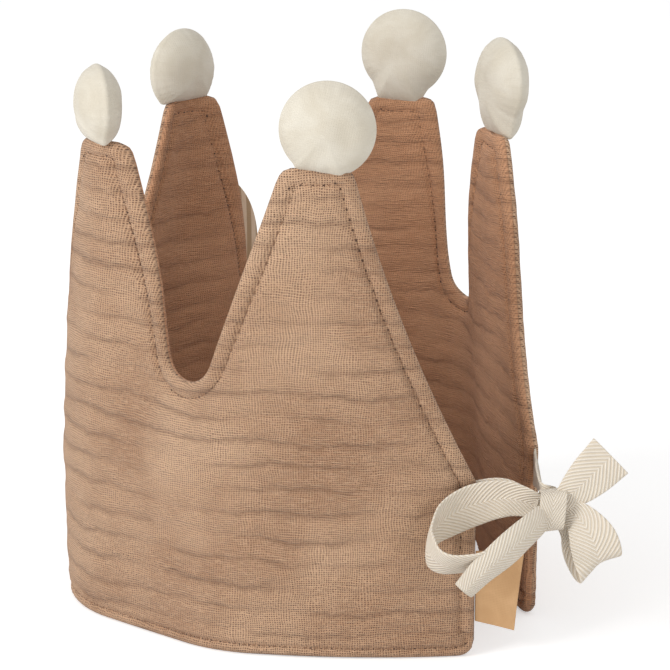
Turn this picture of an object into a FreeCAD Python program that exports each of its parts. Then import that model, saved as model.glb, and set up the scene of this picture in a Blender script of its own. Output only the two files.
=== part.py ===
import FreeCAD, Part
import math
import os
import Sketcher
from FreeCAD import Placement, Rotation, Vector

# Play crown of double gauze: a padded band with five tips, a stuffed disc on each tip,
# and two twill tapes that close it with a bow. Millimetres, +Z up, base rim at z = 0.

doc = FreeCAD.newDocument("FabricCrown")
sheet = doc.addObject("Spreadsheet::Sheet", "Sizes")

SIZES = [
    # Flat pattern of the band
    ("tip_count", 5),
    ("tip_pitch", 85.5),
    ("end_margin", 49),
    ("tip_height", 152),
    ("tip_half_top", 8),
    ("edge_start", 10),
    ("edge_slope", 0.28),
    ("edge_hollow", 0.0013),
    ("shoulder_drop", 4),
    ("valley_height", 82.5),
    ("corner_radius", 5),
    # Layers
    ("panel_thickness", 2.3),
    ("wadding_thickness", 2.0),
    ("seam_margin", 5),
    # Stuffed discs
    ("disc_width", 30),
    ("disc_rise_1", 26),
    ("disc_rise_2", 27),
    ("disc_rise_3", 26.5),
    ("disc_rise_4", 33),
    ("disc_rise_5", 32.5),
    ("disc_thickness", 15),
    ("neck_width", 14),
    ("neck_thickness", 3.4),
    # Twill tapes and their bow
    ("tape_width", 14),
    ("tape_thickness", 1.1),
    ("knot_length", 10),
    ("knot_depth", 9),
    ("knot_height", 13.5),
    ("knot_clearance", 0.2),
    ("knot_side", 22),
    ("knot_front", 10),
    ("knot_level", 50),
    ("left_loop_length", 39),
    ("left_loop_opening", 17),
    ("right_loop_length", 24),
    ("right_loop_opening", 6),
    ("left_tail_length", 34),
    ("right_tail_length", 23),
    ("throat_opening", 3.3),
    ("folded_tail_width", 9.8),
    # Label sewn in the front end seam
    ("label_length", 14),
    ("label_height", 24),
    ("label_level", 10),
    ("label_thickness", 0.9),
    ("label_bend_radius", 28),
    # Badge on the middle tip
    ("badge_width", 52),
    ("badge_height", 50),
    ("badge_thickness", 6),
    ("backing_width", 58),
    ("backing_height", 46),
    ("backing_thickness", 2.5),
    ("badge_level", 98),
    ("badge_side", 14),
    ("backing_side", 4),
    ("badge_bevel", 3),
    ("backing_bevel", 1.2),
    ("stitch_gap", 0.3),
]

# Plan of the band, walked clockwise from the front end: each stretch's share of the band's
# length, and its turn in degrees. A turn of nothing is a straight stretch, where it lay folded.
STRETCHES = [
    ("front", 70, 20),
    ("first_valley", 24, 29),
    ("left_front", 32, 0),
    ("left", 66, 90),
    ("left_back", 64, 0),
    ("third_valley", 22, 48),
    ("back", 54, 33),
    ("fourth_valley", 40, 58),
    ("right", 68, -18),
]

row = 1
for alias, value in SIZES:
    sheet.set(f"A{row}", alias.replace("_", " "))
    sheet.set(f"B{row}", str(value))
    sheet.setAlias(f"B{row}", alias)
    row += 1
for name, share, turn in STRETCHES:
    for kind, value in (("share", share), ("turn", turn)):
        sheet.set(f"A{row}", f"{name} {kind}".replace("_", " "))
        sheet.set(f"B{row}", str(value))
        sheet.setAlias(f"B{row}", f"{name}_{kind}")
        row += 1
doc.recompute()


def size(alias):
    """Value of one driving dimension."""
    return float(sheet.get(alias))


TIPS = int(size("tip_count"))
PITCH = size("tip_pitch")
END_MARGIN = size("end_margin")
TIP_HEIGHT = size("tip_height")
PANEL = size("panel_thickness")
WADDING = size("wadding_thickness")
WALL = 2 * PANEL
BAND_LENGTH = 2 * END_MARGIN + (TIPS - 1) * PITCH
START_HEADING = 189.0
UP = Vector(0, 0, 1)


# Plan of the band

def walk_plan():
    """Stretches of the outer face: start point, heading, length and turn in radians."""
    total = sum(size(name + "_share") for name, share, turn in STRETCHES)
    point = Vector(0, 0, 0)
    heading = math.radians(START_HEADING)
    stretches = []
    for name, share, turn in STRETCHES:
        length = size(name + "_share") / total * BAND_LENGTH
        angle = math.radians(size(name + "_turn"))
        stretches.append((point, heading, length, angle))
        point = plan_point(stretches[-1], length, 0)
        heading -= angle
    return stretches


def inward(heading):
    """Unit vector to the right of a heading, which is the inside of the band."""
    return Vector(math.sin(heading), -math.cos(heading), 0)


def plan_point(stretch, along, inset):
    """Point at a distance along one stretch, moved inwards by inset."""
    point, heading, length, angle = stretch
    if angle == 0:
        ahead = Vector(math.cos(heading), math.sin(heading), 0)
        return point + ahead * along + inward(heading) * inset
    radius = length / angle
    centre = point + inward(heading) * radius
    return centre - inward(heading - along / radius) * (radius - inset)


def station(along, inset=0.0):
    """Point and inward direction at a distance along the whole band."""
    left = along
    for stretch in PLAN:
        if left <= stretch[2] or stretch is PLAN[-1]:
            break
        left -= stretch[2]
    point, heading, length, angle = stretch
    return plan_point(stretch, left, inset), inward(heading - angle * left / length)


PLAN = walk_plan()


def plan_edges(inset, start, end):
    """Arcs and lines of the plan between two distances, moved inwards by inset."""
    edges = []
    passed = 0.0
    for stretch in PLAN:
        length = stretch[2]
        first = max(start - passed, 0)
        last = min(end - passed, length)
        passed += length
        if last - first < 0.01:
            continue
        ends = [plan_point(stretch, along, inset) for along in (first, last)]
        if stretch[3] == 0:
            edges.append(Part.LineSegment(ends[0], ends[1]).toShape())
        else:
            middle = plan_point(stretch, (first + last) / 2, inset)
            edges.append(Part.Arc(ends[0], middle, ends[1]).toShape())
    return edges


def band_face(outer, inner, margin):
    """Plan of one layer: the strip between two insets, short of each end by a margin."""
    start, end = margin, BAND_LENGTH - margin
    rims = [Part.Wire(plan_edges(inset, start, end)) for inset in (outer, inner)]
    caps = []
    for along in (start, end):
        sides = [station(along, inset)[0] for inset in (outer, inner)]
        caps.append(Part.LineSegment(sides[0], sides[1]).toShape())
    edges = rims[0].Edges + rims[1].Edges + caps
    return Part.Face(Part.Wire(Part.__sortEdges__(edges)))


# Tips and valleys, cut along the developed pattern

TOOL_REACH = 12.0
SIDE_STEPS = 7


def half_width(depth):
    """Half the width of a tip at a depth below its top."""
    return size("edge_start") + size("edge_slope") * depth + size("edge_hollow") * depth ** 2


def depth_at(half):
    """Depth below the top at which a tip has this half width."""
    slope, hollow = size("edge_slope"), size("edge_hollow")
    rest = size("edge_start") - half
    return (math.sqrt(slope ** 2 - 4 * hollow * rest) - slope) / (2 * hollow)


def side_point(depth, inset):
    """Point on a tip's side, from the tip's middle line, moved into the cloth by inset."""
    slope = size("edge_slope") + 2 * size("edge_hollow") * depth
    across = half_width(depth)
    if depth < size("shoulder_drop"):
        top = size("tip_half_top")
        slope = (half_width(size("shoulder_drop")) - top) / size("shoulder_drop")
        across = top + slope * depth
    scale = inset / math.hypot(1, slope)
    return across - scale, TIP_HEIGHT - depth - slope * scale


def valley_start():
    """Depth at which a tip's side runs into the round of the valley."""
    shallow, deep = size("shoulder_drop"), depth_at(PITCH / 2)
    for _ in range(50):
        depth = (shallow + deep) / 2
        gap = PITCH / 2 - half_width(depth)
        slope = size("edge_slope") + 2 * size("edge_hollow") * depth
        bottom = TIP_HEIGHT - depth + gap * (slope - math.hypot(1, slope))
        if bottom > size("valley_height"):
            shallow = depth
        else:
            deep = depth
    return depth, gap, slope


def side_outline(deepest, inset):
    """Points down one side of a tip, from above its top."""
    shoulder = size("shoulder_drop")
    depths = [-shoulder, 0, shoulder]
    step = (deepest - shoulder) / SIDE_STEPS
    depths += [shoulder + step * count for count in range(1, SIDE_STEPS + 1)]
    return [side_point(depth, inset) for depth in depths]


def valley_outline(number, inset):
    """Developed outline of the valley after a tip, as distances along the band and heights."""
    depth, gap, slope = valley_start()
    middle = END_MARGIN + (number + 0.5) * PITCH
    radius = gap * math.hypot(1, slope) + inset
    level = TIP_HEIGHT - depth + gap * slope
    side = [(across - PITCH / 2, z) for across, z in side_outline(depth, inset)]
    reach = math.atan2(1, slope)
    round_angles = [-reach * part for part in (0.75, 0.5, 0.25, 0, -0.25, -0.5, -0.75)]
    bottom = [(radius * math.sin(turn), level - radius * math.cos(turn)) for turn in round_angles]
    outline = side + bottom + [(-across, z) for across, z in reversed(side)]
    return [(middle + across, z) for across, z in outline]


def end_outline(direction, inset):
    """Developed outline of the half notch at an end of the band."""
    points = side_outline(depth_at(END_MARGIN + size("corner_radius")), inset)
    middle = END_MARGIN if direction < 0 else BAND_LENGTH - END_MARGIN
    return [(middle + direction * across, z) for across, z in points]


def wrap_ribbon(outline):
    """Ruled face across the wall under a developed outline."""
    rails = []
    for inset in (-TOOL_REACH, WALL + TOOL_REACH):
        points = [station(along, inset)[0] + UP * z for along, z in outline]
        rail = Part.BSplineCurve()
        rail.interpolate(points)
        rails.append(rail.toShape())
    return Part.makeRuledSurface(rails[0], rails[1])


def feature(name, shape, label=None):
    """A document object that holds a shape made from the sheet's sizes."""
    item = doc.addObject("Part::Feature", name)
    item.Shape = shape
    item.Label = label or name
    return item


def extrude(name, base, length, upward=True):
    """Solid made by moving a face straight up by a length from the sheet."""
    item = doc.addObject("Part::Extrusion", name)
    item.Base = base
    item.DirMode = "Custom"
    item.Dir = UP if upward else -UP
    item.setExpression("LengthFwd", length)
    item.Solid = True
    return item


def cut(name, base, tool):
    """Boolean cut of two objects of the document."""
    item = doc.addObject("Part::Cut", name)
    item.Base, item.Tool = base, tool
    return item


def notches(name, inset):
    """All valleys and both end slopes, as solids that stand above the band's edge."""
    outlines = [valley_outline(number, inset) for number in range(TIPS - 1)]
    outlines += [end_outline(direction, inset) for direction in (-1, 1)]
    solids = []
    for number, outline in enumerate(outlines):
        ribbon = feature(f"{name}_ribbon_{number}", wrap_ribbon(outline))
        solids.append(extrude(f"{name}_{number}", ribbon, "Sizes.tip_height"))
    group = doc.addObject("Part::Compound", name)
    group.Links = solids
    return group


# Band: two panels with the seam allowance turned in round the wadding

edge_notches = notches("edge_notch", 0)
wadding_notches = notches("wadding_notch", size("seam_margin"))

wadding_plan = feature(
    "wadding_plan",
    band_face((WALL - WADDING) / 2, (WALL + WADDING) / 2, size("seam_margin")),
)
wadding_plan.Placement = Placement(Vector(0, 0, size("seam_margin")), Rotation())
wadding_block = extrude("wadding_block", wadding_plan, "Sizes.tip_height - 3 * Sizes.seam_margin")
wadding_room = cut("wadding_room", wadding_block, wadding_notches)
wadding = doc.addObject("Part::Refine", "wadding")
wadding.Source = wadding_room


def end_corners(shape):
    """Edges across the cloth at the two lower corners of a panel, as fillet entries."""
    found = []
    for number, edge in enumerate(shape.Edges, 1):
        box = edge.BoundBox
        middle = edge.CenterOfMass
        for along in (0, BAND_LENGTH):
            near = station(along, WALL / 2)[0]
            if box.ZMax < 0.01 and box.DiagonalLength < WALL and (middle - near).Length < WALL:
                found.append((number, size("corner_radius"), size("corner_radius")))
    return found


panels = {}
for name, outer, inner in (("outer_panel", 0, PANEL), ("lining_panel", PANEL, WALL)):
    plan = feature(name + "_plan", band_face(outer, inner, 0))
    block = extrude(name + "_block", plan, "Sizes.tip_height")
    outline = cut(name + "_outline", block, edge_notches)
    doc.recompute()
    rounded = doc.addObject("Part::Fillet", name + "_rounded")
    rounded.Base = outline
    rounded.Edges = end_corners(outline.Shape)
    panels[name] = cut(name, rounded, wadding_room)


# Stuffed discs: two round faces sewn at a rim, drawn in to a neck at the tip

def origin_plane(body, role):
    """One of a body's own origin planes."""
    return next(item for item in body.Origin.OriginFeatures if item.Role == role)


def sketch_on(body, name, role, level=None):
    """Empty sketch on an origin plane of its body, raised to a level."""
    sketch = body.newObject("Sketcher::SketchObject", name)
    sketch.AttachmentSupport = [(origin_plane(body, role), "")]
    sketch.MapMode = "FlatFace"
    if level:
        sketch.setExpression("AttachmentOffset.Base.z", level)
    return sketch


# A quarter of a pillow's section: shares of its half length and half depth
PILLOW = [(1, 0), (0.95, 0.5), (0.72, 0.85), (0.35, 1)]


def pillow_points(half_only):
    """Corners of a pillow's section, clockwise, or of its right half."""
    right = PILLOW[::-1] + [(x, -y) for x, y in PILLOW[1:]]
    if half_only:
        return [(0, 1)] + right + [(0, -1)]
    return right + [(-x, -y) for x, y in right]


def pillow_sketch(body, name, half_length, half_depth, level, half_only=False):
    """Level section of a pillow, long on the X axis, with every corner driven by the sheet."""
    sketch = sketch_on(body, name, "XY_Plane", level)
    shares = pillow_points(half_only)
    guess = [Vector(8 * x, 3 * y, 0) for x, y in shares]
    for number, corner in enumerate(guess):
        sketch.addGeometry(Part.LineSegment(guess[number - 1], corner), False)
    for number in range(len(guess)):
        sketch.addConstraint(Sketcher.Constraint("Coincident", number - 1 if number else len(guess) - 1, 2, number, 1))
    for number, (x, y) in enumerate(shares):
        for kind, share, half in (("DistanceX", x, half_length), ("DistanceY", y, half_depth)):
            place = sketch.addConstraint(Sketcher.Constraint(kind, -1, 1, number, 2, share * 5))
            sketch.setExpression(f"Constraints[{place}]", f"{share} * {half}")
    return sketch


def stuffed_disc(number):
    """One disc with its neck, on the top of its tip, facing along the band's outward side."""
    name = f"pompom_{number}"
    rise = f"Sizes.disc_rise_{number}"
    middle = f"{rise} - Sizes.disc_width / 2"
    body = doc.addObject("PartDesign::Body", name)
    body.Label = name
    wide, deep = "Sizes.disc_width / 2", "Sizes.disc_thickness / 2"
    half = pillow_sketch(body, name + "_half", wide, deep, middle, half_only=True)
    dome = body.newObject("PartDesign::Revolution", name + "_dome")
    dome.Profile = half
    dome.ReferenceAxis = (half, ["V_Axis"])
    dome.Angle = 180
    dome.Reversed = True
    waist = pillow_sketch(body, name + "_waist", wide, deep, middle)
    base = pillow_sketch(body, name + "_base", "Sizes.neck_width / 2", "Sizes.neck_thickness / 2", None)
    neck = body.newObject("PartDesign::AdditiveLoft", name + "_neck")
    neck.Profile = waist
    neck.Sections = [base]
    neck.Ruled = True
    body.Tip = neck
    along = END_MARGIN + (number - 1) * PITCH
    place, inner = station(along, WALL / 2)
    turn = math.degrees(math.atan2(inner.y, inner.x)) - 90
    body.Placement = Placement(place + UP * TIP_HEIGHT, Rotation(UP, turn))
    return body


discs = [stuffed_disc(number) for number in range(1, TIPS + 1)]


# Tapes and bow, on the line across the gap between the two ends

FRONT_END, FRONT_INWARD = station(0, WALL / 2)
REAR_END, REAR_INWARD = station(BAND_LENGTH, WALL / 2)
FRONT_OUT = FRONT_INWARD.cross(UP)
REAR_OUT = UP.cross(REAR_INWARD)
TAPE = size("tape_thickness")
TAPE_WIDTH = size("tape_width")
SEAM_GAP = size("stitch_gap")
LEAD_GAP = SEAM_GAP + TAPE / 4
KNOT = FRONT_END + Vector(size("knot_side"), -size("knot_front"), size("knot_level"))


def frame_at(origin, run, across):
    """Placement whose X axis follows run and whose Z axis follows across as near as it can."""
    run = Vector(run).normalize()
    side = Vector(across).cross(run).normalize()
    return Placement(origin, Rotation(run, side, run.cross(side), "XZY"))


def strip(length, width):
    """Flat length of tape along X, its width along Z, centred on its run."""
    corner = Vector(0, -TAPE / 2, -width / 2)
    return Part.makeBox(length, TAPE, width, corner)


def strip_between(start, end, across, width):
    """Straight tape from one point to another."""
    run = end - start
    shape = strip(run.Length, width)
    shape.Placement = frame_at(start, run, across)
    return shape


def loop_face(length, opening, inset):
    """Flat outline of a loop along X, moved inwards by inset."""
    radius = opening / 2
    centre = length - radius
    throat = size("throat_opening") / 2
    lean = math.asin((radius - throat) / math.hypot(centre, radius - throat))
    start = throat - inset / math.cos(lean)
    touch = Vector(centre - (radius - inset) * math.sin(lean), (radius - inset) * math.cos(lean), 0)
    mirror = Vector(touch.x, -touch.y, 0)
    upper, lower = Vector(inset, start, 0), Vector(inset, -start, 0)
    edges = [
        Part.LineSegment(lower, upper).toShape(),
        Part.LineSegment(upper, touch).toShape(),
        Part.Arc(touch, Vector(length - inset, 0, 0), mirror).toShape(),
        Part.LineSegment(mirror, lower).toShape(),
    ]
    return Part.Face(Part.Wire(edges))


def loop(length, opening, width):
    """Closed loop of tape along X: two strands from the knot that meet in a round end."""
    ring = loop_face(length, opening, 0).cut(loop_face(length, opening, TAPE))
    return ring.extrude(UP * width).translated(UP * (-width / 2))


def placed(shape, origin, run, across):
    """A piece of tape set at the knot along a direction."""
    shape.Placement = frame_at(origin, run, across).multiply(shape.Placement)
    return shape


KNOT_SIZE = Vector(size("knot_length"), size("knot_depth"), size("knot_height"))
WRAP = 2 * TAPE
GAP = size("knot_clearance")


def knot_block(start, end, shrink):
    """Block on the knot's axis between two distances, with its sides drawn in by shrink."""
    depth, height = KNOT_SIZE.y - 2 * shrink, KNOT_SIZE.z - 2 * shrink
    corner = KNOT + Vector(start, -depth / 2, -height / 2)
    return Part.makeBox(end - start, depth, height, corner)


HALF_KNOT = KNOT_SIZE.x / 2
CORE_END = KNOT_SIZE.x / 10
CORE_START = HALF_KNOT + WRAP
LEAD_WIDTH = KNOT_SIZE.z - 2 * (WRAP + GAP)
core = knot_block(-CORE_START, CORE_END, WRAP + GAP)
tunnel = knot_block(-HALF_KNOT, CORE_END + GAP, WRAP)
wrap = knot_block(-HALF_KNOT, HALF_KNOT, 0).cut(tunnel)
wrap_room = knot_block(-HALF_KNOT - GAP, HALF_KNOT, -GAP)

LEFT_SIDE = KNOT - Vector(HALF_KNOT, 0, 0)
RIGHT_SIDE = KNOT + Vector(HALF_KNOT - TAPE, 0, 0)

# How the loops and tails lie: the way each runs, and the way its width stands
LEFT_LOOP = (Vector(-0.9, -0.33, -0.3), Vector(0, -0.7, 0.7))
LEFT_TAIL = (Vector(-0.76, -0.34, -0.56), Vector(-0.5, 0, 0.8))
RIGHT_LOOP = (Vector(0.6, 0, -0.8), Vector(0.8, 0, 0.6))
RIGHT_TAIL = (Vector(0.74, 0, 0.67), Vector(-0.67, 0, 0.74))

front_lead = strip_between(
    FRONT_END + FRONT_OUT * LEAD_GAP + UP * size("knot_level"),
    LEFT_SIDE + Vector(0, TAPE, 0), UP, LEAD_WIDTH,
)
left_loop = placed(
    loop(size("left_loop_length"), size("left_loop_opening"), TAPE_WIDTH), LEFT_SIDE, *LEFT_LOOP,
)
left_tail = placed(
    strip(size("left_tail_length"), size("folded_tail_width")),
    LEFT_SIDE - Vector(0, TAPE, 0), *LEFT_TAIL,
)
rear_lead = strip_between(
    REAR_END + REAR_OUT * LEAD_GAP + UP * size("knot_level"),
    KNOT + Vector(HALF_KNOT / 2, KNOT_SIZE.y / 2 - TAPE, 0), UP, LEAD_WIDTH,
)
right_loop = placed(
    loop(size("right_loop_length"), size("right_loop_opening"), TAPE_WIDTH), RIGHT_SIDE, *RIGHT_LOOP,
)
right_tail = placed(strip(size("right_tail_length"), TAPE_WIDTH), RIGHT_SIDE, *RIGHT_TAIL)

front_pieces = [core] + [piece.cut(wrap_room) for piece in (front_lead, left_loop, left_tail)]
rear_pieces = [wrap] + [piece.cut(tunnel) for piece in (rear_lead, right_loop, right_tail)]


def joined(pieces):
    """One solid from pieces of tape that run into each other."""
    return pieces[0].multiFuse(pieces[1:]).removeSplitter()


front_tie = feature("front_tie", joined(front_pieces))
rear_tie = feature("rear_tie", joined(rear_pieces))


# Label folded double, sewn in the front end seam

def label_shape():
    """Double strip that leaves the seam and bends a little across the gap."""
    length, thick = size("label_length"), size("label_thickness")
    bend = size("label_bend_radius")
    angle = length / bend
    rims = []
    for radius in (bend - thick / 2, bend + thick / 2):
        points = [
            Vector(radius * math.sin(turn), bend - radius * math.cos(turn), 0)
            for turn in (0, angle / 2, angle)
        ]
        rims.append(points)
    edges = [Part.Arc(*points).toShape() for points in rims]
    edges += [Part.LineSegment(rims[0][end], rims[1][end]).toShape() for end in (0, -1)]
    face = Part.Face(Part.Wire(Part.__sortEdges__(edges)))
    return face.extrude(UP * size("label_height"))


label = feature("label", label_shape())
label.Placement = frame_at(
    FRONT_END + FRONT_OUT * SEAM_GAP + UP * size("label_level"), FRONT_OUT, UP,
)


# Badge on the outer face of the middle tip, which is where the plan is straight

def padded_oval(name, width, height, thickness, bevel):
    """Oval pad that lies in its own XY plane with a sloping rim on its outer side."""
    halves = (size(width) / 2, size(height) / 2)
    ellipse = Part.Ellipse(Vector(0, 0, 0), max(halves), min(halves))
    if halves[1] > halves[0]:
        ellipse.rotate(Placement(Vector(0, 0, 0), Rotation(UP, 90)))
    plan = feature(name + "_plan", Part.Face(Part.Wire(ellipse.toShape())))
    block = extrude(name + "_block", plan, "Sizes." + thickness)
    doc.recompute()
    rim = [
        number for number, edge in enumerate(block.Shape.Edges, 1)
        if edge.BoundBox.ZMin > size(thickness) / 2
    ]
    pad = doc.addObject("Part::Chamfer", name)
    pad.Base = block
    pad.Edges = [(number, size(bevel), size(bevel)) for number in rim]
    return pad


middle_tip = END_MARGIN + (TIPS - 1) / 2 * PITCH


def on_wall(along, level, lift):
    """Placement on the outer face of the band, with Z pointing out and Y pointing up."""
    point, inner = station(along)
    outer = -inner
    across = UP.cross(outer)
    return Placement(point + outer * lift + UP * level, Rotation(across, UP, outer, "ZYX"))


backing = padded_oval(
    "badge_backing", "backing_width", "backing_height", "backing_thickness", "backing_bevel",
)
badge = padded_oval(
    "badge_pad", "badge_width", "badge_height", "badge_thickness", "badge_bevel",
)
doc.recompute()
backing.Placement = on_wall(middle_tip + size("backing_side"), size("badge_level"), size("stitch_gap"))
badge.Placement = on_wall(
    middle_tip + size("badge_side"), size("badge_level"),
    size("backing_thickness") + 2 * size("stitch_gap"),
)


# Sub-parts, moved so that the origin is the middle of the crown's footprint

PARTS = [panels["outer_panel"], panels["lining_panel"], wadding]
PARTS += discs
PARTS += [front_tie, rear_tie, label, backing, badge]

doc.recompute()
whole = FreeCAD.BoundBox()
for item in PARTS:
    whole.add(item.Shape.optimalBoundingBox(True, False))
shift = Placement(Vector(-whole.Center.x, -whole.Center.y, 0), Rotation())
for item in PARTS:
    item.Placement = shift.multiply(item.Placement)
doc.recompute()

for item in doc.Objects:
    if {"Invalid", "Error"} & set(item.State):
        raise RuntimeError(f"{item.Name} failed: {item.State}")
for item in PARTS:
    if item.Shape.isNull() or not item.Shape.isValid() or len(item.Shape.Solids) != 1:
        raise RuntimeError(f"{item.Label} is not one valid solid")

os.makedirs("parts", exist_ok=True)
for item in PARTS:
    item.Shape.exportStep(f"parts/{item.Label}.step")
    print(item.Label, round(item.Shape.Volume), "mm3")
print("box", round(whole.XLength, 1), round(whole.YLength, 1), round(whole.ZLength, 1))
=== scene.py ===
"""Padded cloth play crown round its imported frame. Sizes are in millimetres unless named otherwise."""

import logging
import math
from dataclasses import dataclass
from enum import Enum
from typing import Any, Callable, Sequence

import bpy
import numpy as np
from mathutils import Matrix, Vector


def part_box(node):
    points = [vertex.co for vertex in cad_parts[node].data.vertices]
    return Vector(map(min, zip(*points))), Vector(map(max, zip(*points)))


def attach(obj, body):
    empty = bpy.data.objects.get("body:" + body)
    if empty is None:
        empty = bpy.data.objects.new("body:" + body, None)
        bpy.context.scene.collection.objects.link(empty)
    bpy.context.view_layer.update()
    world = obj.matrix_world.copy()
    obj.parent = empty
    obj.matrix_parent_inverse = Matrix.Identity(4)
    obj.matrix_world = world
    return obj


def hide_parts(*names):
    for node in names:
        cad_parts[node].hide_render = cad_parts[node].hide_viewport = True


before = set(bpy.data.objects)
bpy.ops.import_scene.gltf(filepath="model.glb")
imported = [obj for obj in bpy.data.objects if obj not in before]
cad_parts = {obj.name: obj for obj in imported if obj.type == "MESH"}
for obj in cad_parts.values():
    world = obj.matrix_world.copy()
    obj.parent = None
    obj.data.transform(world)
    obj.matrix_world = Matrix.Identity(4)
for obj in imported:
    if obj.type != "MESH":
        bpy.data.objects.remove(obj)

MM = 0.001
UP = np.array([0.0, 0.0, 1.0])
LOG = logging.getLogger("crown")
Array = np.ndarray
Shape = Callable[[Array, Array], tuple[Array, Array]]
Triple = tuple[float, float, float]
MULTIPLY = {"operation": "MULTIPLY"}
SMOOTH = {"interpolation_type": "SMOOTHSTEP"}


class Side(Enum):
    """Which face of the band a piece belongs to."""

    OUTER = 1
    LINING = -1

    @property
    def word(self) -> str:
        """The face's name as it stands in names of pieces."""
        return self.name.lower()

    @property
    def slot(self) -> str:
        """Material slot of the gauze on this face."""
        return f"{self.word}_gauze"


# Mesh helpers

def deselect_all() -> None:
    """Leaves nothing selected, so that the next operator acts on one piece."""
    for piece in list(bpy.context.selected_objects):
        piece.select_set(False)


def make_active(piece: bpy.types.Object) -> None:
    """Selects one piece alone.

    Args:
        piece: the piece.
    """
    deselect_all()
    piece.select_set(True)
    bpy.context.view_layer.objects.active = piece


def read_points(mesh: bpy.types.Mesh) -> Array:
    """Vertex places of a mesh as an array of rows.

    Args:
        mesh: the mesh.

    Returns:
        One row a vertex.
    """
    flat = np.empty(len(mesh.vertices) * 3)
    mesh.vertices.foreach_get("co", flat)
    return flat.reshape(-1, 3)


def write_points(mesh: bpy.types.Mesh, places: Array) -> None:
    """Moves the vertices of a mesh."""
    mesh.vertices.foreach_set("co", np.ascontiguousarray(places, dtype=float).ravel())
    mesh.update()


def write_cloth_map(mesh: bpy.types.Mesh, cloth: Array) -> None:
    """Gives a mesh its cloth map: where each vertex lies on the flat cloth, in metres.

    Args:
        mesh: the mesh to map.
        cloth: two values a vertex.
    """
    layer = mesh.uv_layers[0] if mesh.uv_layers else mesh.uv_layers.new()
    layer.name = "cloth"
    corners = np.empty(len(mesh.loops), dtype=np.int32)
    mesh.loops.foreach_get("vertex_index", corners)
    layer.data.foreach_set("uv", np.ascontiguousarray(cloth[corners], dtype=float).ravel())


def read_cloth(mesh: bpy.types.Mesh) -> Array:
    """Cloth map of a mesh, one row a vertex.

    Args:
        mesh: the mesh.

    Returns:
        Two values a vertex, in metres.
    """
    corners = np.empty(len(mesh.loops), dtype=np.int32)
    mesh.loops.foreach_get("vertex_index", corners)
    values = np.empty(len(mesh.loops) * 2)
    mesh.uv_layers["cloth"].data.foreach_get("uv", values)
    rows = np.zeros((len(mesh.vertices), 2))
    rows[corners] = values.reshape(-1, 2)
    return rows


def apply_modifier(piece: bpy.types.Object, kind: str, **settings: Any) -> None:
    """Adds one modifier with its settings and applies it.

    Args:
        piece: the piece.
        kind: the modifier's type.
        settings: values of the modifier's properties.
    """
    modifier = piece.modifiers.new(kind.title(), kind)
    for key, value in settings.items():
        setattr(modifier, key, value)
    make_active(piece)
    bpy.ops.object.modifier_apply(modifier=modifier.name)


def newly_made(name: str) -> bpy.types.Object:
    """The piece that an operator has just made, under its own name.

    Args:
        name: its name.

    Returns:
        The named piece.
    """
    piece = bpy.context.object
    piece.name = name
    piece.data.name = name
    return piece


def turn_faces_out(piece: bpy.types.Object) -> None:
    """Points the faces of a closed piece outwards.

    Args:
        piece: the piece.
    """
    make_active(piece)
    bpy.ops.object.mode_set(mode="EDIT")
    bpy.ops.mesh.select_all(action="SELECT")
    bpy.ops.mesh.remove_doubles(threshold=0.01 * MM)
    bpy.ops.mesh.normals_make_consistent(inside=False)
    bpy.ops.object.mode_set(mode="OBJECT")
    bpy.ops.object.shade_smooth()


def grid_sheet(name: str, columns: int, rows: int, shape: Shape, flipped: bool = False) -> bpy.types.Object:
    """Sheet made from a flat grid whose points are moved to their place.

    Args:
        name: name of the piece.
        columns: faces along the cloth.
        rows: faces across the cloth.
        shape: gives place and cloth map for shares along and across.
        flipped: whether the faces turn to the other side.

    Returns:
        The sheet, one face thick.
    """
    deselect_all()
    bpy.ops.mesh.primitive_grid_add(x_subdivisions=columns, y_subdivisions=rows, size=2)
    piece = newly_made(name)
    shares = (read_points(piece.data) + 1) / 2
    places, cloth = shape(shares[:, 0], shares[:, 1])
    write_points(piece.data, places * MM)
    write_cloth_map(piece.data, cloth * MM)
    if flipped:
        bpy.ops.object.mode_set(mode="EDIT")
        bpy.ops.mesh.select_all(action="SELECT")
        bpy.ops.mesh.flip_normals()
        bpy.ops.object.mode_set(mode="OBJECT")
    return piece


def join_pieces(name: str, parts: Sequence[bpy.types.Object]) -> bpy.types.Object:
    """Joins parts into one named piece.

    Args:
        name: its name.
        parts: the parts to join.

    Returns:
        The joined piece.
    """
    make_active(parts[0])
    for part in parts[1:]:
        part.select_set(True)
    bpy.ops.object.join()
    return newly_made(name)


def smooth_noise(x: Array, y: Array, seed: int) -> Array:
    """Seeded value noise between -1 and 1 with cells one unit wide.

    Args:
        x: places along, in cells.
        y: places across, in cells.
        seed: seed of the random table.

    Returns:
        One value for each place.
    """
    table = np.random.default_rng(seed).uniform(-1, 1, (256, 256))
    column, row = np.floor(x).astype(int), np.floor(y).astype(int)
    right, above = x - column, y - row
    right, above = right * right * (3 - 2 * right), above * above * (3 - 2 * above)

    def corner(across: int, up: int) -> Array:
        """Values at one corner of each cell."""
        return table[(column + across) % 256, (row + up) % 256]

    low = corner(0, 0) * (1 - right) + corner(1, 0) * right
    high = corner(0, 1) * (1 - right) + corner(1, 1) * right
    return low * (1 - above) + high * above


def unit(rows: Array) -> Array:
    """Rows scaled to length one."""
    rows = np.asarray(rows, dtype=float)
    return rows / np.linalg.norm(rows, axis=-1, keepdims=True)


def walked(line: Array) -> Array:
    """Distance walked at each row of a line of points."""
    return np.concatenate([[0], np.cumsum(np.linalg.norm(np.diff(line, axis=0), axis=1))])


def rows_at(line: Array, run: Array, steps: Array) -> Array:
    """Rows of a line at some of the distances walked along it."""
    return np.column_stack([np.interp(steps, run, column) for column in line.T])


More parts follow.
